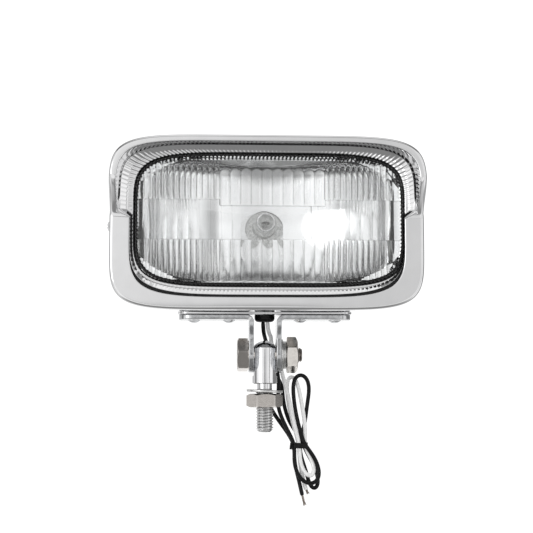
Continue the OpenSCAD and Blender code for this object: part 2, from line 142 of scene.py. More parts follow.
def moved(part, x=0.0, y=0.0, z=0.0, axis="z", turn=0.0):
    """A part placed at x, y, z, with its own Z along axis, turned about it first."""
    p, faces = part
    c, q = math.cos(math.radians(turn)), math.sin(math.radians(turn))
    p = p @ np.array([[c, q, 0], [-q, c, 0], [0, 0, 1]])
    if axis == "x":
        p = p[:, [2, 0, 1]]
    elif axis == "-x":
        p = p[:, [2, 0, 1]] * (-1, 1, 1)
    elif axis == "y":
        p = p[:, [0, 2, 1]]
    return p + (x, y, z), faces


def rounded(rings, radii, steps=7, closed=True):
    """Rings with each corner ring replaced by a curve that starts and ends radius away from it."""
    out, n = [], len(rings)
    for k, radius in enumerate(radii):
        here = rings[k]
        if not radius or (not closed and k in (0, n - 1)):
            out.append(here)
            continue
        ends = []
        for other in (rings[k - 1], rings[(k + 1) % n]):
            d = other - here
            far = np.linalg.norm(d, axis=1, keepdims=True)
            ends.append(here + d * np.minimum(0.48, radius / np.maximum(far, 1e-9)))
        for t in np.linspace(0, 1, steps):
            out.append((1 - t) ** 2 * ends[0] + 2 * t * (1 - t) * here + t * t * ends[1])
    return out


def join(parts):
    points, faces, base = [], [], 0
    for p, f in parts:
        points.append(p)
        faces += [tuple(i + base for i in q) for q in f]
        base += len(p)
    return np.concatenate(points), faces


def piece(name, parts, material, body, stands_for=(), smooth=32.0, weighted=True):
    """One visible piece on a CAD body, from one or more closed skins in mm."""
    points, faces = join(parts) if isinstance(parts, list) else parts
    mesh = bpy.data.meshes.new(name)
    mesh.from_pydata((points * MM).tolist(), [], faces)
    work = bmesh.new()
    work.from_mesh(mesh)
    bmesh.ops.remove_doubles(work, verts=work.verts, dist=2e-6)
    bmesh.ops.dissolve_degenerate(work, edges=work.edges, dist=1e-6)
    bmesh.ops.recalc_face_normals(work, faces=work.faces)
    work.to_mesh(mesh)
    work.free()
    mesh.materials.append(material)
    mesh.shade_smooth()
    mesh.set_sharp_from_angle(angle=math.radians(smooth))
    obj = bpy.data.objects.new(name, mesh)
    scene.collection.objects.link(obj)
    if weighted:
        m = obj.modifiers.new("normals", "WEIGHTED_NORMAL")
        m.keep_sharp = True
    if body:
        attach(obj, body)
    if stands_for:
        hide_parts(*stands_for)
    return obj


# ---- materials -----------------------------------------------------------


def node(tree, kind, values=None, **attributes):
    """A new shader node; a value that is a socket is linked, any other is set."""
    n = tree.nodes.new("ShaderNode" + kind)
    for key, value in attributes.items():
        setattr(n, key, value)
    for key, value in (values or {}).items():
        if isinstance(value, bpy.types.NodeSocket):
            tree.links.new(value, n.inputs[key])
        else:
            n.inputs[key].default_value = value
    return n


def ramp(tree, factor, stops):
    n = node(tree, "ValToRGB", {"Fac": factor})
    band = n.color_ramp.elements
    while len(band) < len(stops):
        band.new(0.5)
    for e, (at, value) in zip(band, stops):
        e.position = at
        e.color = (value, value, value, 1) if isinstance(value, float) else (*value, 1)
    return n.outputs["Color"]


def noise(tree, vector, scale, detail):
    values = {"Vector": vector, "Scale": scale, "Detail": detail}
    return node(tree, "TexNoise", values).outputs["Fac"]


def maths(tree, operation, *values):
    return node(tree, "Math", dict(enumerate(values)), operation=operation).outputs[0]


def mix(tree, share, one, other, **attributes):
    values = {"Fac": share, "Color1": one, "Color2": other}
    return node(tree, "MixRGB", values, **attributes).outputs["Color"]


# Pointiness and mask: above it an edge gets a painted highlight, below it a groove gets painted
# shade
EDGE_STOPS = [(0.52, 0.0), (0.62, 1.0)]
GROOVE_STOPS = [(0.45, 1.0), (0.494, 0.0)]


def surface(
    name,
    tones,
    scale=700.0,
    stretch=(1, 1, 1),
    rough=(0.2, 0.3),
    bump=0.2,
    depth=0.00005,
    grain=2500.0,
    wave=0.0,
    edge_highlight=None,
    groove_shade=None,
    **sockets,
):
    """A procedural finish: mottled tones, uneven roughness, grain, waves, painted highlights on
    edges, painted shade in grooves.
    """
    mat = bpy.data.materials.new(name)
    mat.use_nodes = True
    tree = mat.node_tree
    shader = tree.nodes["Principled BSDF"]
    where = node(tree, "TexCoord").outputs["Object"]
    along = node(tree, "Mapping", {"Vector": where, "Scale": stretch}).outputs["Vector"]
    mottle = noise(tree, along, scale, 4.0)
    colour = ramp(tree, mottle, [(0.34, tones[0]), (0.66, tones[1])])
    # painted highlight on sharp edges and painted shade in grooves, both from Pointiness
    for tint, stops in ((edge_highlight, EDGE_STOPS), (groove_shade, GROOVE_STOPS)):
        if tint:
            edge = node(tree, "NewGeometry").outputs["Pointiness"]
            colour = mix(tree, ramp(tree, edge, stops), colour, (*tint, 1))
    tree.links.new(colour, shader.inputs["Base Color"])
    uneven = noise(tree, along, scale * 2.3, 3.0)
    spread = {"From Min": 0.3, "From Max": 0.7, "To Min": rough[0], "To Max": rough[1]}
    roughness = node(tree, "MapRange", {"Value": uneven, **spread}).outputs["Result"]
    tree.links.new(roughness, shader.inputs["Roughness"])
    fine = noise(tree, along, grain, 2.0)
    relief = {"Strength": bump, "Distance": depth, "Height": fine}
    normal = node(tree, "Bump", relief).outputs["Normal"]
    if wave:
        slow = noise(tree, where, 90.0, 1.0)
        relief = {"Strength": wave, "Distance": 0.001, "Height": slow, "Normal": normal}
        normal = node(tree, "Bump", relief).outputs["Normal"]
    tree.links.new(normal, shader.inputs["Normal"])
    for key, value in sockets.items():
        shader.inputs[key.replace("_", " ")].default_value = value
    return mat


chrome = surface(
    "bezel_chrome", ((0.765, 0.765, 0.77), (0.795, 0.795, 0.80)), scale=130, rough=(0.03, 0.06),
    bump=0.04, depth=0.00001, grain=3500, wave=0.003, Metallic=1.0,
)
housing_chrome = surface(
    "housing_chrome", ((0.76, 0.76, 0.77), (0.84, 0.84, 0.85)), scale=120, rough=(0.06, 0.13),
    bump=0.08, depth=0.00003, grain=2500, wave=0.04, Metallic=1.0,
)
post_chrome = surface(
    "post_chrome", ((0.78, 0.78, 0.79), (0.86, 0.86, 0.87)), scale=400, stretch=(1, 1, 0.25),
    rough=(0.06, 0.14), bump=0.15, depth=0.00002, grain=2600, Metallic=1.0,
)
# Painted highlight on the thread's crests and painted shade in its roots.
thread_metal = surface(
    "thread_metal", ((0.74, 0.74, 0.74), (0.90, 0.90, 0.90)), scale=900, rough=(0.1, 0.22),
    bump=0.3, grain=4000, edge_highlight=(0.95, 0.95, 0.95), groove_shade=(0.09, 0.09, 0.09), Metallic=1.0,
)
# The zinc and nickel finishes below get a painted highlight on their edges.
zinc = surface(
    "bright_zinc", ((0.46, 0.465, 0.475), (0.66, 0.67, 0.68)), scale=500, rough=(0.08, 0.2),
    bump=0.2, depth=0.00003, grain=2200, edge_highlight=(0.9, 0.9, 0.9), Metallic=1.0,
)
washer_zinc = surface(
    "washer_zinc", ((0.50, 0.50, 0.49), (0.68, 0.68, 0.67)), scale=700, rough=(0.2, 0.38),
    bump=0.3, grain=3000, edge_highlight=(0.85, 0.85, 0.84), Metallic=1.0,
)
nickel = surface(
    "warm_nickel", ((0.205, 0.182, 0.162), (0.33, 0.30, 0.272)), scale=650, rough=(0.1, 0.22),
    bump=0.35, depth=0.00006, grain=2600, edge_highlight=(0.88, 0.84, 0.80), Metallic=1.0,
)
pale_nickel = surface(
    "pale_nickel", ((0.46, 0.43, 0.39), (0.72, 0.69, 0.65)), scale=650, rough=(0.08, 0.2),
    bump=0.35, depth=0.00006, grain=2600, edge_highlight=(0.9, 0.87, 0.83), Metallic=1.0,
)
rubber = surface(
    "black_rubber", ((0.004, 0.004, 0.004), (0.014, 0.014, 0.015)), scale=600, rough=(0.38, 0.6),
    bump=0.4, depth=0.00006, grain=2400, Specular_IOR_Level=0.22,
)
gasket_rubber = surface(
    "gasket_rubber", ((0.003, 0.003, 0.003), (0.012, 0.012, 0.012)), scale=600, rough=(0.14, 0.28),
    bump=0.2, depth=0.00004, grain=2400, Specular_IOR_Level=0.34,
)
black_pvc = surface(
    "black_insulation", ((0.003, 0.003, 0.0035), (0.010, 0.010, 0.011)), scale=500,
    rough=(0.26, 0.42), bump=0.2, depth=0.00004, grain=1800, Specular_IOR_Level=0.2,
)
# The white insulation glows faintly: painted light that makes it look brighter.
white_pvc = surface(
    "white_insulation_painted_glow", ((0.86, 0.86, 0.86), (0.95, 0.95, 0.945)), scale=420, rough=(0.3, 0.45),
    bump=0.2, depth=0.00004, grain=1800, Emission_Color=(1, 1, 1, 1), Emission_Strength=0.14,
)
tie_plastic = surface(
    "tie_plastic", ((0.003, 0.003, 0.003), (0.010, 0.010, 0.011)), scale=900, rough=(0.3, 0.5),
    bump=0.3, grain=2600, Specular_IOR_Level=0.2,
)
copper = surface(
    "tinned_copper", ((0.26, 0.21, 0.18), (0.48, 0.43, 0.39)), scale=1500, rough=(0.25, 0.4),
    bump=0.2, grain=5000, Metallic=1.0,
)
mirror = surface(
    "reflector_silver", ((0.94, 0.94, 0.94), (0.985, 0.985, 0.985)), scale=80, rough=(0.06, 0.11),
    bump=0.03, depth=0.00002, grain=1500, wave=0.03, Metallic=1.0,
)
steel = surface(
    "spring_steel", ((0.40, 0.40, 0.40), (0.56, 0.56, 0.56)), scale=900, rough=(0.22, 0.4),
    bump=0.3, grain=3000, Metallic=1.0,
)
bulb_metal = surface(
    "bulb_metal", ((0.60, 0.60, 0.59), (0.74, 0.74, 0.73)), scale=700, rough=(0.2, 0.36),
    bump=0.3, grain=3000, Metallic=1.0,
)
tungsten = surface(
    "tungsten", ((0.22, 0.21, 0.2), (0.36, 0.35, 0.34)), scale=2500, rough=(0.3, 0.5),
    bump=0.2, grain=6000, Metallic=1.0,
)
# Painted shade darkens the grooves of the lens's flutes.
glass = surface(
    "pressed_glass", ((0.95, 0.96, 0.965), (0.985, 0.99, 0.99)), scale=60, rough=(0.0, 0.02),
    bump=0.04, grain=350, groove_shade=(0.04, 0.04, 0.042), IOR=1.5, Transmission_Weight=1.0,
)
quartz = surface(
    "bulb_quartz", ((0.93, 0.93, 0.93), (0.97, 0.97, 0.97)), scale=200, rough=(0.0, 0.03),
    bump=0.05, depth=0.00003, grain=900, IOR=1.46, Transmission_Weight=1.0,
)


# ---- the leads -----------------------------------------------------------

# Each lead follows its route from the grommet, behind the post, and twice through the tie
BLACK_ROUTE = [
    (-0.8, 0, 33.2), (-0.7, 0.5, 30.5), (-0.3, 2.4, 27.6), (0.4, 5.6, 25.2),
    (1.6, 9.4, 22.2), (3.8, 12.2, 17.5), (6.4, 13.2, 12), (7.8, 13.4, 6.5),
    (8.6, 13.6, 0), (8.0, 13.6, -7), (8.0, 13.2, -13), (10.6, 12.8, -19.9),
    (13.8, 12.2, -26.5), (17.2, 11.9, -33.4), (16.6, 12.1, -40), (17.2, 12.2, -45.5),
    (19.2, 12.0, -50.3), (22.3, 11.9, -53.6), (25.8, 11.8, -54.9), (29.0, 11.8, -53.8),
    (30.8, 11.8, -50.6), (30.4, 11.8, -46.2), (28.4, 11.8, -41.0), (25.6, 11.8, -36.6),
    (22.4, 11.9, -33.2), (20.4, 11.8, -27), (18.6, 11.7, -20), (17.2, 11.7, -13),
    (16.4, 11.8, -6), (16.2, 12.2, 0), (17.4, 12.6, 4.4), (20.4, 12.8, 6.0),
    (23.6, 12.9, 4.4), (25.2, 13.2, 0.2), (25.2, 13.8, -4.8), (24.2, 14.6, -11),
    (23.4, 15.2, -18), (22.2, 15.0, -25), (20.6, 14.4, -30), (19.8, 14.1, -33.4),
    (20.2, 14.3, -38), (21.8, 14.5, -43), (23.8, 14.6, -48.5), (24.8, 14.6, -53.5),
    (26.2, 14.6, -57.4), (28.6, 14.6, -58.4), (30.2, 14.8, -56.4), (30.4, 15.1, -52.6),
    (29.2, 15.5, -47.6), (27.2, 16.0, -43), (24.6, 16.4, -38.6), (22.2, 16.6, -33.8),
    (21.0, 18.2, -30), (17.6, 18.8, -25.6), (14.6, 17.8, -20.6), (12.4, 16.6, -15),
    (11.0, 16.2, -9), (10.6, 16.4, -2), (9.0, 16.8, 3.2), (5.8, 17.0, 5.2),
    (2.6, 17.0, 3.2), (1.2, 16.8, -2), (1.8, 16.6, -8), (5.4, 16.5, -15.5),
    (9.6, 16.4, -21.5), (13.6, 16.3, -27), (17.2, 16.3, -33.4), (17.0, 16.3, -40),
    (17.8, 16.0, -46), (19.2, 15.2, -51), (20.2, 13.9, -55.8), (20.7, 13.2, -58.2),
    (21.2, 13, -60.4),
]
WHITE_ROUTE = [
    (1.6, 0, 33.2), (1.8, 0.5, 30.5), (2.6, 2.6, 27.6), (3.8, 6.4, 25.2),
    (4.4, 10.6, 22.2), (6.6, 13.4, 17.5), (9.2, 14.6, 12), (10.2, 14.8, 6.5),
    (11.6, 13.8, 1), (13.2, 12.4, -5), (14.6, 11.8, -12), (16.0, 11.7, -19),
    (17.8, 11.8, -26), (19.8, 11.9, -33.4), (19.6, 12.0, -38.4), (20.2, 12.1, -43.4),
    (22.0, 12.1, -48.0), (24.8, 12.1, -51.2), (27.2, 12.1, -50.8), (28.2, 12.3, -47.4),
    (26.8, 13.0, -42), (24.4, 13.7, -37.4), (22.3, 14.1, -33.4), (23.0, 13.2, -28),
    (22.8, 12.9, -22.6), (21.9, 12.8, -16), (20.7, 12.9, -9), (19.4, 13.2, -2.4),
    (18.0, 13.8, 2.8), (15.6, 14.9, 5.4), (13.4, 16.1, 3.6), (13.0, 16.8, -2),
    (13.8, 16.9, -9), (15.0, 16.6, -16), (16.8, 16.4, -23), (18.6, 16.3, -29),
    (19.8, 16.3, -33.4), (20.0, 16.9, -40), (20.7, 17.1, -46), (21.7, 16.5, -51),
    (22.7, 15.6, -55.2), (23.6, 15.4, -57.6),
]
HELD_START, HELD_END = 30, 4  # points of each lead that stay where the routes put them


def smooth_line(route, step):
    """A Catmull-Rom curve through the route, in even steps."""
    p = np.array(route, float)
    p = np.concatenate([2 * p[:1] - p[1:2], p, 2 * p[-1:] - p[-2:-1]])
    out = []
    t = np.linspace(0, 1, 24, endpoint=False)[:, None]
    for a, b, c, d in zip(p, p[1:], p[2:], p[3:]):
        square, cube = 2 * a - 5 * b + 4 * c - d, 3 * b - a - 3 * c + d
        out.append(0.5 * (2 * b + (c - a) * t + square * t**2 + cube * t**3))
    out.append(p[-2][None])
    fine = np.concatenate(out)
    return even(fine, step)


def even(line, step):
    far = np.concatenate([[0], np.cumsum(np.linalg.norm(np.diff(line, axis=0), axis=1))])
    count = max(2, round(far[-1] / step) + 1)
    at = np.linspace(0, far[-1], count)
    return np.stack([np.interp(at, far, line[:, k]) for k in range(3)], 1)


def relax(lines, gap, held, rounds=160):
    """Pushes runs of cord apart until they lie gap from each other, keeping each line smooth."""
    sizes = [len(q) for q in lines]
    p = np.concatenate(lines)
    owner = np.repeat(np.arange(len(lines)), sizes)
    order = np.concatenate([np.arange(n) for n in sizes])
    free = np.concatenate([(np.arange(n) >= held[0]) & (np.arange(n) < n - held[1]) for n in sizes])
    inner = np.concatenate([(np.arange(n) > 0) & (np.arange(n) < n - 1) for n in sizes])
    close = (owner[:, None] == owner[None]) & (np.abs(order[:, None] - order[None]) < 9)
    for _ in range(rounds):
        d = p[:, None] - p[None]
        far = np.linalg.norm(d, axis=2) + np.where(close, 99.0, 0.0)
        push = np.maximum(0, gap - far)
        near = push > 0
        shift = (d / np.maximum(far, 0.2)[:, :, None] * push[:, :, None] * 0.25).sum(1)
        shift /= np.maximum(1, near.sum(1))[:, None] ** 0.5
        mid = np.zeros_like(p)
        mid[1:-1] = (p[:-2] + p[2:]) / 2 - p[1:-1]
        shift += np.where(inner[:, None], mid, 0) * 0.12
        p = p + np.where(free[:, None], shift, 0)
    out, start = [], 0
    for n in sizes:
        out.append(p[start : start + n])
        start += n
    return out


def sweep(line, radius, sides=20):
    """A closed tube along a line, its sections carried without twist."""
    line = np.asarray(line, float)
    ahead = np.gradient(line, axis=0)
    ahead /= np.linalg.norm(ahead, axis=1, keepdims=True)
    side = np.cross(ahead[0], (0.3, 1, 0.2))
    rings = []
    t = np.linspace(0, 2 * math.pi, sides, endpoint=False)
    radii = np.broadcast_to(radius, len(line))
    for p, a, r in zip(line, ahead, radii):
        side = side - a * (side @ a)
        side /= np.linalg.norm(side)
        up = np.cross(a, side)
        rings.append(p + r * (np.cos(t)[:, None] * side + np.sin(t)[:, None] * up))
    return loft(rings)


STEP = 0.8
AIR = 0.06  # room left between two runs of lead
black_line, white_line = relax(
    [smooth_line(BLACK_ROUTE, STEP), smooth_line(WHITE_ROUTE, STEP)],
    2 * LEAD_R + AIR, (HELD_START, HELD_END),
)


def lead(name, line, material, stands_for):
    """A lead as one tube, a little thinner at both ends."""
    radius = np.full(len(line), LEAD_R)
    radius[0] = radius[-1] = LEAD_R - 0.25
    obj = piece(name, sweep(line, radius), material, None, stands_for, weighted=False)
    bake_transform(obj)
    return obj


black_lead = lead(
    "black_lead_cord", black_line, black_pvc,
    ("black_lead", "black_lead_tail", "lead_hank"),
)
white_lead = lead(
    "white_lead_cord", white_line, white_pvc, ("white_lead", "white_lead_tail")
)


def stripped_end(name, start, direction, length, stands_for):
    """Seven bare strands, one in the middle and six twisted about it, a little splayed."""
    d = np.array(direction, float)
    d /= np.linalg.norm(d)
    u = np.cross(d, (0, 1, 0))
    u /= np.linalg.norm(u)
    v = np.cross(d, u)
    parts = []
    s = np.linspace(0, 1, 14)[:, None]
    for k in range(7):
        turn = math.radians(60 * k) + s * math.radians(210)
        out = 0.0 if k == 6 else 0.42 * (1 + 0.35 * s**2)
        run = length * (1 - 0.05 * (k % 3)) * s
        line = np.array(start) + run * d + out * (np.cos(turn) * u + np.sin(turn) * v)
        line = line + s**2 * 0.3 * u * (1 if k % 2 else -1) * (k / 6)
        parts.append(sweep(line, 0.2, 10))
    return piece(name, parts, copper, "post", stands_for, weighted=False)


black_ends = stripped_end(
    "black_bare_strands", (21.1, 13, -60.0), (0.5, 0, -2), 6.1, ("black_conductor",)
)
white_ends = stripped_end(
    "white_bare_strands", (23.5, 15.4, -57.3), (0.4, 0, -1), 2.8, ("white_conductor",)
)


def rounded_frame(a, b, r, steps=10):
    """Points of a rectangle of half sizes a and b with corners of radius r."""
    out = []
    corners = ((a - r, b - r, 0), (r - a, b - r, 90), (r - a, r - b, 180), (a - r, r - b, 270))
    for x, y, start in corners:
        out += arc(x, y, r, start, start + 90, steps)
    return np.array(out)


def tie_band(x, y, z, a, b, r, height, thick):
    """A flat wire tie round the bundle, its ends twisted together on the left."""
    loop = rounded_frame(a, b, r)
    rings = []
    section = rounded_frame(thick / 2, height / 2, 0.3, 4)
    n = len(loop)
    for k in range(n):
        t = loop[(k + 1) % n] - loop[k - 1]
        out = np.array([t[1], -t[0]]) / np.linalg.norm(t)
        sag = 0.25 * math.sin(2 * math.pi * k / n * 2 + 0.7)
        px = x + loop[k, 0] + section[:, 0] * out[0]
        py = y + loop[k, 1] + section[:, 0] * out[1]
        rings.append(np.stack([px, py, z + sag + section[:, 1]], 1))
    parts = [loft(rings, closed=True)]
    s = np.linspace(0, 1, 26)
    for k in (0, 1):
        turn = math.pi * k + s * 2.5 * 2 * math.pi
        px = x - a - 0.5 - 0.3 * s + 0.45 * np.cos(turn)
        py = y - b - 0.25 + 0.45 * np.sin(turn)
        parts.append(sweep(np.stack([px, py, z + 1.2 - 3.0 * s], 1), 0.42, 10))
    return parts


band = tie_band(19.8, 14.1, -33.4, a=4.1, b=4.0, r=1.9, height=2.9, thick=0.75)
piece("twist_tie", band, tie_plastic, "post", ("lead_tie",))


# ---- bowed outlines ------------------------------------------------------


def bowed(a, b, n, t):
    c, s = np.cos(t), np.sin(t)
    k = (np.abs(c) ** n + np.abs(s) ** n) ** (-1 / n)
    return a * c * k, b * s * k


def turns(count):
    """Angles round an outline, drawn in towards the corners."""
    u = np.linspace(0, 2 * math.pi, count, endpoint=False)
    return u + math.radians(10) * np.sin(4 * u)


def even_turns(a, b, n, count):
    """Angles at even steps along the outline itself."""
    t = np.linspace(0, 2 * math.pi, 20001)
    x, z = bowed(a, b, n, t)
    far = np.concatenate([[0], np.cumsum(np.hypot(np.diff(x), np.diff(z)))])
    return np.interp(np.linspace(0, far[-1], count, endpoint=False), far, t), far[-1]


def at_depth(a, b, n, y, z, t, cx=0.0):
    x, h = bowed(a, b, n, t)
    return np.stack([cx + x, np.broadcast_to(y, x.shape), z + h], 1)


def ease(f):
    g = np.clip(f, 0, 1)
    return g * g * (3 - 2 * g)


# ---- bezel and visor -----------------------------------------------------

ROUND = turns(1400)
RIM_Z = LAMP_Z + bowed(BEZEL_A, BEZEL_B, BEZEL_N, ROUND)[1]
VISOR_REACH = ease((RIM_Z - 85.2) / 22)[:, None]  # how far forward the visor stands
VISOR_WIDE = ease((RIM_Z - 85.6) / 3.2)[:, None]  # how open its mouth is, cut off short below


def inset(d, y):
    return at_depth(BEZEL_A - d, BEZEL_B - d, BEZEL_N, y, LAMP_Z, ROUND)


def opening(d, y):
    return at_depth(OPEN_A + d, OPEN_B + d, 5.2, y, LAMP_Z, ROUND)


def seat(d, y):
    return at_depth(SEAT_A + d, SEAT_B + d, LENS_N, y, LENS_Z, ROUND, SEAT_X)


def station(low, high):
    """A ring between the plain frame's and the visor's; depth and width change separately."""
    out = low + (high - low) * VISOR_WIDE
    out[:, 1] = (low[:, 1:2] + (high - low)[:, 1:2] * VISOR_REACH)[:, 0]
    return out


def ring(d, y):
    """The lens ring's edge, rounder at its corners and a little higher than the opening."""
    return at_depth(71.0 + d, 36.8 + d, 4.75, y, LAMP_Z + 0.3, ROUND)


def broad(d, y):
    """The same ring where the visor leaves all of it in view."""
    return at_depth(76.2 + d, 39.2 + d, 5.6, y, 84.2, ROUND, 0.2)


def between(a, b, f):
    return a * (1 - f) + b * f


def pressed(part, rise):
    """Fine pressed ribs round the ring, as wide apart as the gasket's."""
    step = np.linalg.norm(np.diff(np.concatenate([part, part[:1]]), axis=0), axis=1)
    along = np.concatenate([[0], np.cumsum(step)[:-1]]) / step.sum()
    part = part.copy()
    part[:, 1] += rise * np.cos(2 * math.pi * RIB_COUNT * along)
    return part


wall = between(ring(0, FRONT + 1.6), seat(0, FRONT + 3.4), 0.55)
broad_wall = between(broad(0, FRONT + 0.9), seat(0, FRONT + 3.2), 0.5)
bezel_rings = [
    station(inset(0, SKIRT), inset(0, SKIRT)),
    station(inset(0, FRONT), inset(0.3, TIP)),
    station(opening(0, FRONT), inset(4, TIP)),
    station(opening(0.1, FRONT + 1.7), between(inset(4.1, TIP), broad(0.4, FRONT - 0.2), 0.35)),
    station(ring(0.2, FRONT + 1.7), between(inset(4.1, TIP), broad(0.4, FRONT - 0.2), 0.75)),
    station(ring(0, FRONT + 0.7), broad(0, FRONT - 0.1)),
    station(pressed(wall, 0.03), pressed(broad_wall, 0.15)),
    station(pressed(seat(0.9, FRONT + 2.6), 0.03), pressed(seat(0.9, FRONT + 2.6), 0.12)),
    station(seat(0, FRONT + 3.4), seat(0, FRONT + 3.4)),
    station(seat(1, FRONT + 4.4), seat(1, FRONT + 4.4)),
    station(ring(1.2, FRONT + 3.9), broad(1.3, FRONT + 1.3)),
    station(opening(1.0, FRONT + 2.8), inset(2.7, TIP + 3.6)),
    station(opening(1.0, FRONT + SHEET), inset(2.9, TIP + 1.5)),
    station(inset(SHEET, FRONT + SHEET), inset(1.8, TIP + SHEET)),
    station(inset(SHEET, SKIRT), inset(SHEET, SKIRT)),
]
bezel_radii = [0.3, 2.3, 0.8, 0.2, 0.2, 0.3, 0.9, 0.6, 0.3, 0.3, 1.5, 0.5, 0.5, 0.8, 0.3]
piece(
    "visor_bezel_shell", loft(rounded(bezel_rings, bezel_radii), closed=True), chrome,
    "lamp_head", ("visor_bezel",), smooth=50,
)
low_arc = np.where(RIM_Z < 81.5)[0]  # the painted-shade strip in the gap shows only below the visor
# A black rubber strip stands in as painted shade for the gap between the opening and the lens ring.
SHADE_LIP, SHADE_ROOT = FRONT + 1.0, FRONT + 1.75
gap_shade = [opening(0.1, SHADE_ROOT), opening(0.1, SHADE_LIP), ring(0.2, SHADE_LIP), ring(0.2, SHADE_ROOT)]
gap_shade = np.stack(gap_shade, 1)[low_arc]
piece(
    "opening_gap_shade", loft(list(gap_shade)), rubber, "lamp_head",
    smooth=50, weighted=False,
)

# ---- housing -------------------------------------------------------------

HOUSE_A, HOUSE_B = BEZEL_A - SHEET - 0.2, BEZEL_B - SHEET - 0.2
# Each ring's inset from the outline, across and up, its roundness, depth and corner curve
house = [
    (0.6, 0.6, 6.3, -29, 0), (0, 0, 6.3, -12, 0), (0, 0, 6.3, 6.4, 6), (3, 2.6, 5.4, 14.4, 4),
    (8.4, 7, 4.8, 21, 5), (17, 14, 4.2, 26.8, 5), (26, 20, 4, 30, 3), (32, 24, 4, BACK_Y, 1.5),
]
t = turns(256)
outer = [at_depth(HOUSE_A - a, HOUSE_B - b, n, y, LAMP_Z, t) for a, b, n, y, _ in house]
inner = []
for a, b, n, y, _ in house:
    depth = min(y, BACK_Y - SHEET) - SHEET * min(1, a / 17)
    inner.append(at_depth(HOUSE_A - a - SHEET, HOUSE_B - b - SHEET, n, depth, LAMP_Z, t))
house_rings = rounded(outer, [h[4] for h in house], closed=False)
house_rings += [at_depth(0.05, 0.05, 2, y, LAMP_Z, t) for y in (BACK_Y, BACK_Y - SHEET)]
house_rings += inner[::-1]


def block_rings(a, b, r, z_low, z_high, edge, cy):
    """A flat block with round corners and broken edges."""
    rings = []
    for cut, z in ((edge, z_low), (0, z_low + edge), (0, z_high - edge), (edge, z_high)):
        q = rounded_frame(a - cut, b - cut, r)
        rings.append(np.stack([q[:, 0], q[:, 1] + cy, np.full(len(q), z)], 1))
    return rings


pad = loft(block_rings(46.6, 12.3, 6, PLATE_TOP, PAD_TOP - 0.6, edge=0.5, cy=0.7))
piece(
    "rear_housing_shell", [loft(house_rings, closed=True), pad], housing_chrome, "lamp_head",
    ("rear_housing",), smooth=45,
)

# ---- lens ----------------------------------------------------------------

LENS_FRONT, LENS_BACK = -32.7, -29.6
ROW_TOP, ROW_UP_SIDE, ROW_UP_MID, ROW_LOW = 113.6, 95.4, 92.2, 74.3
WIDE_FROM, WIDE_TO = -26.0, 29.0  # the wide flutes' stretch; narrow ones stand on both sides
WIDE_PITCH, NARROW_PITCH = 5.5, 3.0
CROWN, EDGE_R = 0.7, 1.2  # the lens's rise at its middle, the curve of its edge
FINE_X, FINE_Z = 0.25, 0.7  # the steps of its grid


def ribs(x, origin, pitch):
    u = (x - origin) / pitch
    return 1 - (2 * (u - np.floor(u)) - 1) ** 2


def flutes(x, z):
    """How far the pressed pattern stands behind the lens's plain back."""
    wide = (x > WIDE_FROM) & (x < WIDE_TO)
    rib = np.where(wide, ribs(x, WIDE_FROM, WIDE_PITCH), ribs(x, WIDE_FROM, NARROW_PITCH))
    height = np.where(wide, 0.62, 0.60)
    side = np.abs(x - 1.5) > 20  # the middle row is nearly plain, with low ribs at its sides
    middle = np.where(side, 0.32 * ribs(x, 42, 5.6), 0.10 * ribs(x, WIDE_FROM, 11.0))
    arch = np.maximum(0, z - ROW_TOP + np.where(wide, 4.6, 1.6))  # where flutes run out on top
    arched = np.maximum(0, height * rib - 0.26 * arch)
    step = np.where(wide, ROW_UP_MID, ROW_UP_SIDE)
    upper = arched + 0.45 * np.clip((ROW_TOP - z) / (ROW_TOP - step), 0, 1)
    lower = height * rib + 0.5 * np.clip((z - 50) / (ROW_LOW - 50), 0, 1)
    out = np.where(z > step, upper, np.where(z > ROW_LOW, middle, lower))
    rim = (np.abs(x) / 68.3) ** 6 + (np.abs(z - LENS_Z) / 33.0) ** 6  # they fade at the rim
    return out * np.clip((1 - rim) * 4, 0, 1)


lens_x = np.concatenate(
    [
        np.arange(-65, 65.01, FINE_X),
        [65.6, 66.2, 66.7, 67.2, 67.6, 68, 68.3, 68.5, 68.65, 68.74, 68.78, LENS_A],
    ]
)
lens_x = np.unique(np.round(np.concatenate([lens_x, -lens_x[lens_x > 65]]), 4))
levels = [LENS_Z - LENS_B, LENS_Z + LENS_B, ROW_TOP, ROW_LOW, ROW_UP_MID, ROW_UP_SIDE]
lens_z = np.concatenate(
    [np.arange(LENS_Z - LENS_B, LENS_Z + LENS_B, FINE_Z)]
    + [[v - 0.03, v + 0.03] for v in levels[3:]]
    + [levels[:3]]
)
lens_z = np.unique(np.round(lens_z, 4))
half = LENS_B * np.maximum(0, 1 - (np.abs(lens_x) / LENS_A) ** LENS_N) ** (1 / LENS_N)
gx = np.repeat(lens_x[:, None], len(lens_z), 1)
gz = np.clip(lens_z[None] - LENS_Z, -half[:, None], half[:, None]) + LENS_Z
rho = ((np.abs(gx) / LENS_A) ** LENS_N + (np.abs(gz - LENS_Z) / LENS_B) ** LENS_N) ** (1 / LENS_N)
inward = np.clip((1 - rho) * 40, 0, EDGE_R)
edge_drop = EDGE_R - np.sqrt(np.maximum(0, EDGE_R**2 - (EDGE_R - inward) ** 2))
crown = CROWN * (1 - np.clip(rho, 0, 1) ** 2)
front = LENS_FRONT - crown + edge_drop
back = LENS_BACK + flutes(gx, gz) - 0.5 * crown
rows, cols = gx.shape
lens_points = np.concatenate(
    [np.stack([gx + LENS_X, q, gz], 2).reshape(-1, 3) for q in (front, back)]
)
base = rows * cols
lens_faces = chain(rows, cols, round_way=False)
lens_faces += [tuple(base + i for i in q) for q in lens_faces]
for i in range(rows - 1):
    for j in (0, cols - 1):
        a, b = i * cols + j, (i + 1) * cols + j
        lens_faces.append((a, b, base + b, base + a))
piece(
    "fluted_lens", (lens_points, lens_faces), glass, "lamp_head", ("lens",),
    smooth=28, weighted=False,
)

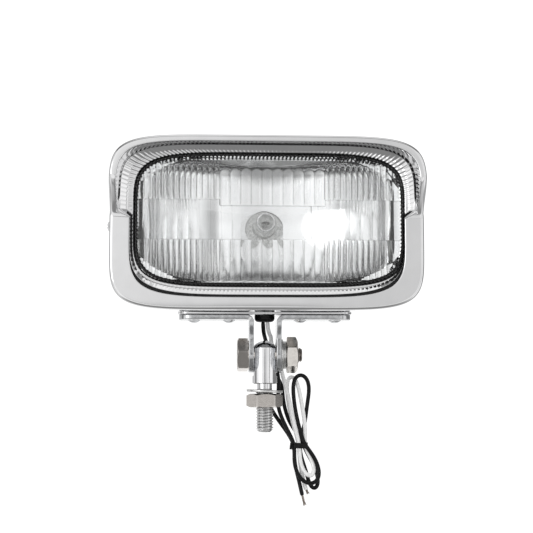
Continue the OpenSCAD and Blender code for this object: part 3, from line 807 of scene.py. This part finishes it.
# ---- gasket --------------------------------------------------------------

TOOTH = 2.05
gasket_t, around = even_turns(SEAT_A - 0.6, SEAT_B - 0.6, LENS_N, 1480)
teeth = np.cos(np.linspace(0, 2 * math.pi * round(around / TOOTH), 1480, endpoint=False))
bite = ease(0.5 + 1.1 * teeth)[:, None]


def gasket_ring(d, y, tooth_in=0.0, tooth_out=0.0):
    """A ring at d inside the lens's pocket; teeth move it inwards and forwards."""
    a, b = 69.5 - d, 34.2 - d
    plain = at_depth(a, b, LENS_N, y, LENS_Z, gasket_t, LENS_X)
    a, b = a - tooth_in, b - tooth_in
    deep = at_depth(a, b, LENS_N, y - tooth_out, LENS_Z - 0.3, gasket_t, LENS_X)
    return plain + (deep - plain) * bite


# Each ring's inset and depth, and how far a tooth moves it inwards and forwards
gasket_rows = (
    (0.05, -31.0), (0.05, -32.8), (0.2, -33.2, 0, 0.2), (0.45, -33.2, 0.1, 0.8),
    (0.8, -33.2, 0.25, 0.7), (1.0, -33.0, 0.5, 0.3), (1.1, -32.8, 0.4, 0), (0.92, -32.2),
    (0.92, -31.0),
)
piece(
    "ribbed_gasket", loft([gasket_ring(*row) for row in gasket_rows], closed=True),
    gasket_rubber, "lamp_head", ("lens_gasket",), smooth=60, weighted=False,
)

# ---- reflector and bulb --------------------------------------------------

MOUTH, APEX, SPREAD = -28.0, 8.5, 148.0  # a paraboloid cut off by four flat walls


def bowl(radius, y, grow=0.0):
    """A ring of the reflector where its paraboloid has this radius."""
    t = turns(320)
    c, q = np.abs(np.cos(t)), np.abs(np.sin(t))
    box = ((c / (66.8 + grow)) ** 7 + (q / (31.6 + grow)) ** 7) ** (-1 / 7)
    r = ((radius + grow) ** -26.0 + box**-26.0) ** (-1 / 26)
    return np.stack([r * np.cos(t), np.full(len(t), y), LENS_Z + r * np.sin(t)], 1)


bowl_radii = [
    10, 12, 14.5, 17, 20, 23, 26, 28.5, 30.5, 31.5, 32.5, 34, 36, 39, 43, 47, 51, 55, 59, 63,
    65.5, 67, 69, 71.5, 73.5,
]
BOWL_T = 0.9  # the reflector's thickness
bright = [bowl(r, APEX - r * r / SPREAD) for r in bowl_radii]
dull = [bowl(r, APEX - r * r / SPREAD + BOWL_T, BOWL_T) for r in bowl_radii]
lip = turns(320)
rim = [
    at_depth(a, b, 5, y, LENS_Z, lip, LENS_X)
    for a, b, y in (
        (68.7, 33.5, MOUTH), (68.7, 33.5, -31.2), (69.4, 34.15, -31.2),
        (69.4, 34.15, MOUTH + BOWL_T),
    )
]
piece(
    "reflector_bowl", loft(bright + rim + dull[::-1], closed=True), mirror, "lamp_head",
    ("reflector",), smooth=40,
)

BULB_R, BULB_IN, BULB_TURN = 5.2, 4.55, 11.8
bulb_profile = [(BULB_R, 0.0)] + arc(0, BULB_TURN, BULB_R, 0, 90, 14)
bulb_profile += arc(0, BULB_TURN, BULB_IN, 90, 0, 14) + [(BULB_IN, 0.0)]
p, f = revolve(bulb_profile, 64, closed=True)
capsule = (p[:, [0, 2, 1]] * (1, -1, 1) + (0, 0, BULB_Z), f)
piece(
    "bulb_capsule", capsule, quartz, "lamp_head", ("bulb_glass",),
    smooth=60, weighted=False,
)
COIL_HALF, COIL_R, COIL_Y, COIL_TURNS = 2.3, 0.62, -8.6, 9
s = np.linspace(0, 1, 180)
turn = 2 * math.pi * COIL_TURNS * s
coil_x = -COIL_HALF + 2 * COIL_HALF * s
coil = np.stack([coil_x, COIL_Y + COIL_R * np.cos(turn), BULB_Z + COIL_R * np.sin(turn)], 1)
wires = [sweep(coil, 0.17, 8)]
for x in (-COIL_HALF, COIL_HALF):
    leg = ((x, -8.0), (x * 1.05, -5), (x * 0.8, -2), (x * 0.8, 0.2))
    wires.append(sweep([(*q, BULB_Z) for q in leg], 0.3, 10))
piece(
    "bulb_coil", wires, tungsten, "lamp_head", ("bulb_filament",),
    smooth=60, weighted=False,
)

# ---- grommet and screws --------------------------------------------------

grommet_profile = [(0, 33.2), (3.0, 33.2)] + arc(3.4, 35.3, 2.05, -80, 0, 8)
grommet_profile += [
    (5.4, 36.0), (5.3, 36.7), (4, 36.75), (4, PAD_TOP), (5.2, PAD_TOP), (5.2, PAD_TOP + 1.0),
    (4.6, PAD_TOP + 1.5), (0, PAD_TOP + 1.5),
]
piece(
    "lead_grommet", revolve(grommet_profile, 72), rubber, "lamp_head",
    ("wire_grommet",), smooth=40,
)


def screw_head(r, rise, slot_wide, slot_long, deep):
    """A domed head with a cross recess, its face towards +Z."""
    steps, rings = 96, []
    t = np.linspace(0, 2 * math.pi, steps, endpoint=False)
    ball = (r * r + rise * rise) / (2 * rise)
    for q in (1.0, 1.0, 0.97, 0.9, 0.8, 0.7, 0.6, 0.5, 0.4, 0.34, 0.28, 0.22, 0.16, 0.1, 0.02):
        x, y = r * q * np.cos(t), r * q * np.sin(t)
        z = np.sqrt(ball**2 - (r * q) ** 2) - (ball - rise)
        z = z if rings else np.full(steps, -0.6)
        z = np.broadcast_to(z, steps).copy()
        if rings:
            across = np.minimum(np.abs(x), np.abs(y))
            lengthwise = np.maximum(np.abs(x), np.abs(y))
            z -= deep * ease((slot_wide - across) / 0.2) * ease((slot_long - lengthwise) / 0.3)
        rings.append(np.stack([x, y, z], 1))
    return loft(rings)


SCREW_Y, HEAD_X, SHANK_X = -21, 81.9, 75.5
screws = []
for side in (-1, 1):
    way = "x" if side > 0 else "-x"
    head = screw_head(r=3.4, rise=1.6, slot_wide=0.42, slot_long=1.9, deep=0.9)
    shank = rod(1.9, 6.4, 32)
    screws.append(moved(head, side * HEAD_X, SCREW_Y, LAMP_Z, way))
    screws.append(moved(shank, side * SHANK_X, SCREW_Y, LAMP_Z, way))
piece(
    "bezel_screw_heads", screws, chrome, "lamp_head", ("bezel_screws",),
    smooth=40,
)

# ---- brackets and rivets -------------------------------------------------

BRACKET_T, BRACKET_X, PLATE_HALF, BEND, CORNER = 2.6, 46.0, 11.7, 1.4, 7


def bracket(side):
    """A plate under the housing that bends down into an ear with a round end."""
    mid_r = BEND + BRACKET_T / 2
    bend_x, bend_z = EAR_OUT + BEND, PLATE_LOW - BEND
    rounding = BRACKET_X - CORNER * (1 - np.cos(np.linspace(0, math.pi / 2, 12)))
    plate = np.concatenate([rounding, np.linspace(BRACKET_X - CORNER - 2, bend_x + 0.5, 14)])
    run = [(x, PLATE_TOP - BRACKET_T / 2, 0.0, 1.0) for x in plate]
    for a in np.linspace(90, 180, 12):
        c, q = math.cos(math.radians(a)), math.sin(math.radians(a))
        run.append((bend_x + mid_r * c, bend_z + mid_r * q, c, q))
    mid_x = EAR_OUT - BRACKET_T / 2
    run += [(mid_x, z, -1.0, 0.0) for z in np.linspace(bend_z - 1, PIVOT_Z, 14)]
    end = np.linspace(0.12, math.pi / 2, 16)
    run += [(mid_x, PIVOT_Z - EAR_R * math.sin(a), -1.0, 0.0) for a in end]
    rings = []
    for x, z, nx, nz in run:
        if x > BRACKET_X - CORNER:
            past = x - BRACKET_X + CORNER
            half_w = PLATE_HALF - CORNER + math.sqrt(max(0, CORNER**2 - past**2))
        elif z < PIVOT_Z:
            half_w = math.sqrt(max(0, EAR_R**2 - (PIVOT_Z - z) ** 2))
        else:
            half_w = EAR_R + (PLATE_HALF - EAR_R) * float(ease((z - 24) / 9))
        q = rounded_frame(max(half_w, 0.02), BRACKET_T / 2, min(0.55, max(half_w, 0.02) * 0.9), 5)
        rings.append(np.stack([(x + q[:, 1] * nx) * side, q[:, 0], z + q[:, 1] * nz], 1))
    return loft(rings)


for side, word in ((-1, "left"), (1, "right")):
    plate = f"bracket_{word}"
    piece(f"{plate}_plate", bracket(side), zinc, "lamp_head", (plate,), smooth=50)

RIVET_R, RIVET_H = 3.4, 1.5
ball = (RIVET_R**2 + RIVET_H**2) / (2 * RIVET_H)
dome = [
    (r, PLATE_LOW - RIVET_H + ball - math.sqrt(ball**2 - r * r))
    for r in np.linspace(0.0, RIVET_R - 0.15, 10)
]
rivet_profile = dome + [
    (RIVET_R, PLATE_LOW - 0.12), (RIVET_R, PLATE_LOW), (2, PLATE_LOW), (2, PAD_TOP), (3, PAD_TOP),
    (2.9, PAD_TOP + 0.9), (2.4, PAD_TOP + 1.2), (0, PAD_TOP + 1.2),
]
rivets = [moved(revolve(rivet_profile, 48), x) for x in (-38, -19.2, 19.2, 38)]
piece("bracket_rivet_set", rivets, zinc, "lamp_head", ("bracket_rivets",), smooth=40)

# ---- hexagons, washers and threads ---------------------------------------


HEX_STEPS = 144


def hex_ring(af, base, slope):
    """A hexagon's outline, rising from base by slope outside the turned face."""
    t = np.linspace(0, 2 * math.pi, HEX_STEPS, endpoint=False)
    q = np.mod(t + math.pi / 6, math.pi / 3) - math.pi / 6
    reach = af / 2 / np.cos(q)
    z = base + np.maximum(0, reach - (af / 2 - 0.3)) * slope
    return np.stack([reach * np.cos(t), reach * np.sin(t), z], 1)


def hexagon(af, height, bore, low=1.0, high=1.0):
    """A hexagon prism whose corners are turned off at about 30 degrees, with or without a bore."""
    face = [(af / 2 - 0.3, 0), (af / 2 - 0.3, height)]
    start, end = [circle(r, z, HEX_STEPS) for r, z in face]
    rings = [start, hex_ring(af, 0, 0.55 * low), hex_ring(af, height, -0.55 * high), end]
    if bore:
        hole = [(bore, height / 2), (bore, 0.7), (bore + 0.7, 0)]
        rings = [circle(r, z, HEX_STEPS) for r, z in hole] + rings
        rings += [circle(bore + 0.7, height, HEX_STEPS), circle(bore, height - 0.7, HEX_STEPS)]
    return loft(rings, closed=bool(bore), caps=not bore)


def thread(major, depth, z_low, z_high, chamfer, steps=72, per_turn=12):
    """A right-handed thread with rounded roots and a chamfered lower end."""
    levels = np.arange(z_low, z_high + 1e-6, PITCH_MM / per_turn)
    t = np.linspace(0, 2 * math.pi, steps, endpoint=False)
    rings = []
    for z in levels:
        phase = np.mod(z / PITCH_MM - t / (2 * math.pi), 1.0)
        tooth = np.clip(1.15 - np.abs(phase - 0.5) * 2.6, 0, 1)
        r = major - depth * (1 - tooth)
        r = np.minimum(r, major - chamfer + max(0.0, z - z_low) * 0.95)
        r = np.minimum(r, major - 0.5 + np.maximum(0.0, z_high - z) * 0.8)
        rings.append(np.stack([r * np.cos(t), r * np.sin(t), np.full(steps, z)], 1))
    return loft(rings)


def ring_disc(inner_r, outer_r, height, edge=0.25):
    """A flat washer with broken edges."""
    profile = [
        (inner_r, edge), (inner_r, height - edge), (inner_r + edge, height),
        (outer_r - edge, height), (outer_r, height - edge), (outer_r, edge),
        (outer_r - edge, 0), (inner_r + edge, 0),
    ]
    return revolve(profile, 96, closed=True)


def split_ring(inner_r, outer_r, height, lift, gap=9.0):
    """A spring lock washer: a square bar round most of a turn, its ends apart."""
    rings = []
    for a in np.linspace(gap / 2, 360 - gap / 2, 90):
        c, q = math.cos(math.radians(a)), math.sin(math.radians(a))
        z = lift * (a / 360 - 0.5)
        section = rounded_frame((outer_r - inner_r) / 2, height / 2, 0.25, 4)
        r = (inner_r + outer_r) / 2 + section[:, 0]
        rings.append(np.stack([r * c, r * q, z + height / 2 + section[:, 1]], 1))
    return loft(rings)


def on_pivot(part, x, axis="x", turn=0.0):
    return moved(part, x, 0, PIVOT_Z, axis, turn)


BOLT_R, BOLT_BORE = 4.0, 4.2
head = on_pivot(hexagon(af=16.4, height=5.8, bore=0, high=0.2), -14.9, turn=20)
face_washer = on_pivot(rod(7.8, 0.5, 64), -9.2)
shank = on_pivot(rod(BOLT_R, 21.2, 48), -9.2)
bolt_thread = on_pivot(thread(BOLT_R, depth=0.62, z_low=0, z_high=8.6, chamfer=0.8), 20.1, "-x")
piece(
    "pivot_bolt_body", [head, face_washer, shank, bolt_thread], nickel, "lamp_head",
    ("pivot_bolt",), smooth=35,
)
disc = on_pivot(ring_disc(BOLT_BORE, 8.6, height=1.2), EAR_OUT)
piece(
    "pivot_washer", disc, washer_zinc, "lamp_head", ("pivot_flat_washer",),
    smooth=50,
)
spring = on_pivot(split_ring(BOLT_BORE, 7.4, height=1.6, lift=0.35), EAR_OUT + 1.25, turn=95)
piece(
    "pivot_spring_washer", spring, washer_zinc, "lamp_head",
    ("pivot_lock_washer",), smooth=50,
)
nut = on_pivot(hexagon(af=17, height=6, bore=4.06, low=0.4, high=1.25), EAR_OUT + 3, turn=8)
piece("pivot_hex_nut", nut, pale_nickel, "lamp_head", ("pivot_nut",), smooth=35)

# ---- post, stud and clamp ------------------------------------------------


def post_ring(z):
    """A section of the post: round below, with two milled flats above, closing to a ball."""
    up = max(0.0, z - PIVOT_Z)
    r = min(POST_R, math.sqrt(max(0.0, BALL_R**2 - up * up)))
    r = min(r, POST_R - 0.5 + max(0.0, z)) if z < 0.5 else r
    cut = POST_R - (POST_R - FLAT) * float(ease((z - 4.0) / 0.5))
    start = math.acos(min(1.0, cut / r)) if r > cut else 0.0
    t = np.linspace(start, math.pi - start, 49)
    front_half = np.stack([r * np.cos(t), -r * np.sin(t)], 1)
    q = np.linspace(-1, 1, 9)[1:-1, None] * r * math.sin(start)
    x = r * math.cos(start)
    left = np.concatenate([np.full_like(q, -x), q], 1)
    ring = np.concatenate([front_half, left, -front_half, -left])
    return np.concatenate([ring, np.full((len(ring), 1), z)], 1)


post_levels = np.concatenate(
    [[0.0, 0.12, 0.3, 0.5, 1.5], np.linspace(3.9, 4.6, 8), np.linspace(5.4, 18.6, 14)]
)
up = np.linspace(math.radians(28), math.radians(89.5), 26)
dome_top = [PIVOT_Z + BALL_R * math.sin(a) for a in up]
post_levels = np.concatenate([post_levels, dome_top])
neck = [(0, 0.1), (NECK_R, 0.1), (NECK_R, NECK_Z), (3.6, NECK_Z - 0.5), (0, NECK_Z - 0.5)]
piece(
    "swivel_post_body", [loft([post_ring(z) for z in post_levels]), revolve(neck, 64)],
    post_chrome, "post", ("swivel_post",), smooth=38,
)
stud = thread(STUD_R, depth=0.82, z_low=STUD_END, z_high=NECK_Z - 0.1, chamfer=1.5)
piece("post_stud_thread", stud, thread_metal, "post", smooth=60)

low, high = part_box("stud_washer")
washer, faces = moved(ring_disc(5.3, 9.8, height=1.3), 0, 0, -0.65)
x, y, z = washer.T
tilt = math.radians(2.4)
c, q = math.cos(tilt), math.sin(tilt)
turned = np.stack([x * c + z * q, y, -x * q + z * c + (low.z + high.z) / 2 / MM], 1)
piece(
    "clamp_washer_disc", (turned, faces), washer_zinc, "clamp_washer",
    ("stud_washer",), smooth=50,
)
low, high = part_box("stud_nut")
nut = moved(hexagon(af=17, height=7.2, bore=4.86), 0, 0, low.z / MM, "z", 33)
piece("clamp_hex_nut", nut, nickel, "clamp_nut", ("stud_nut",), smooth=35)

# ---- carried-over nodes --------------------------------------------------

KEPT = {
    "lens_clips": steel, "bulb_base": bulb_metal, "bulb_holder": bulb_metal,
    "bulb_clip": steel, "bulb_wire": white_pvc, "earth_wire": black_pvc,
    "earth_terminal": bulb_metal, "earth_screw": zinc, "bezel_nut_clips": steel,
}
for name, material in KEPT.items():
    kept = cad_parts[name]
    kept.data.materials.clear()
    kept.data.materials.append(material)

# ---- studio --------------------------------------------------------------

floor_mesh = bpy.data.meshes.new("floor")
FLOOR_Z, FLOOR_R = -0.34, 6.0
floor_mesh.from_pydata(circle(FLOOR_R, FLOOR_Z, 64).tolist(), [], [tuple(range(64))])
floor = bpy.data.objects.new("floor", floor_mesh)
scene.collection.objects.link(floor)
paper = surface(
    "paper_floor", ((0.44, 0.44, 0.44), (0.48, 0.48, 0.48)), scale=6, rough=(0.7, 0.9),
    bump=0.1, grain=60,
)

# How bright the room is round about: degrees from the lamp's front, then brightness
ROOM = (
    (-180, 1.0), (-156, 1.0), (-148, 0.5), (-126, 0.5), (-118, 0.9), (-98, 0.25), (-84, 0.25),
    (-78, 0.9), (-62, 1.0), (-57, 0.32), (-52, 0.32), (-48, 1.0), (-33, 1.0), (-15, 0.9),
    (-4, 0.82), (8, 0.67), (18, 0.72), (36, 1.0), (41, 0.4), (45, 0.4), (51, 1.0), (70, 1.0),
    (78, 0.85), (83, 0.22), (108, 0.22), (143, 0.28), (154, 1.0), (180, 1.0),
)
# Where the room's front counts: its heights differ from those behind
AHEAD = ((-180, 0.0), (-128, 0.0), (-108, 1.0), (108, 1.0), (128, 0.0), (180, 0.0))
FIGURE = ((-180, 0.0), (-8, 0.0), (-5, 0.65), (4, 0.65), (7, 0.0), (180, 0.0))  # a dark stand ahead
SHADE_POOL = (0.0, -0.36, 0.0)  # the middle of a pool of painted shade on the floor
WINDOW = (-0.69, -0.715, 0.09)  # the direction of a soft glow


def round_ramp(tree, part, stops):
    """A ramp whose stops are given in degrees from the lamp's front."""
    return ramp(tree, part, [((a + 180) / 360, v) for a, v in stops])


def room(tree, vector):
    """A direction's share of a turn, its height, and how bright the room is there."""
    parts = node(tree, "SeparateXYZ", {"Vector": vector}).outputs
    back = maths(tree, "MULTIPLY", parts["Y"], -1.0)
    around = maths(tree, "ARCTAN2", parts["X"], back)
    part = maths(tree, "MULTIPLY_ADD", around, 1 / (2 * math.pi), 0.5)
    return part, parts["Z"], round_ramp(tree, part, ROOM)


tree = paper.node_tree
where = node(tree, "TexCoord").outputs["Object"]
# The floor glows with the room's brightness round about, with painted shade in a pool before the
# lamp.
away = node(tree, "VectorMath", {0: where, 1: SHADE_POOL}, operation="DISTANCE").outputs["Value"]
reach = {"From Min": 0.44, "From Max": 0.68, "To Min": 0.0, "To Max": 0.78}
glow = node(tree, "MapRange", {"Value": away, **reach}).outputs["Result"]
tree.links.new(room(tree, where)[2], tree.nodes["Principled BSDF"].inputs["Emission Color"])
tree.links.new(glow, tree.nodes["Principled BSDF"].inputs["Emission Strength"])
floor_mesh.materials.append(paper)

world = bpy.data.worlds.new("studio")
scene.world = world
world.use_nodes = True
tree = world.node_tree
direction = node(tree, "TexCoord").outputs["Generated"]
turned_part, height, round_about = room(tree, direction)
lift = maths(tree, "MULTIPLY_ADD", height, 0.5, 0.5)
# Heights from straight down to straight up, each with its brightness
ahead_up = ramp(tree, lift, [
    (0.0, 0.28), (0.10, 0.30), (0.20, 0.5), (0.25, 0.85), (0.35, 0.95), (0.50, 0.93),
    (0.56, 1.0), (0.79, 0.96), (0.815, 0.85), (0.835, 0.28), (0.89, 0.28), (0.91, 0.48),
    (0.97, 0.62), (1.0, 0.66),
])
behind_up = ramp(tree, lift, [
    (0.0, 0.5), (0.40, 0.9), (0.45, 1.0), (0.69, 1.0), (0.72, 0.60), (0.87, 0.50),
    (0.97, 0.62), (1.0, 0.66),
])
upright = mix(tree, round_ramp(tree, turned_part, AHEAD), behind_up, ahead_up)
shaded = mix(tree, 1.0, round_about, upright, blend_type="MULTIPLY")
across = round_ramp(tree, turned_part, FIGURE)
below = ramp(tree, lift, [(0.0, 1.0), (0.51, 1.0), (0.528, 0.0), (1.0, 0.0)])
figure = maths(tree, "MULTIPLY", across, below)
dark = mix(tree, figure, shaded, (0.1, 0.1, 0.1, 1))
near = node(tree, "VectorMath", {0: direction, 1: WINDOW}, operation="DOT_PRODUCT").outputs["Value"]
reach = {"Value": near, "From Min": 0.945, "From Max": 0.998, "To Min": 0.0, "To Max": 1.7}
window = node(tree, "MapRange", reach, interpolation_type="SMOOTHSTEP").outputs["Result"]
lit = mix(tree, 1.0, dark, window, blend_type="ADD")
tree.links.new(lit, tree.nodes["Background"].inputs["Color"])
tree.nodes["Background"].inputs["Strength"].default_value = 1.12


def softbox(name, place, aim, size, power):
    data = bpy.data.lights.new(name, "AREA")
    data.shape = "RECTANGLE"
    data.size, data.size_y = size
    data.energy = power
    obj = bpy.data.objects.new(name, data)
    scene.collection.objects.link(obj)
    obj.location = place
    obj.rotation_euler = (Vector(aim) - Vector(place)).to_track_quat("-Z", "Y").to_euler()


softbox("overhead", (0.1, -0.2, 1.2), aim=(0, 0, 0.05), size=(0.9, 0.8), power=1.05)
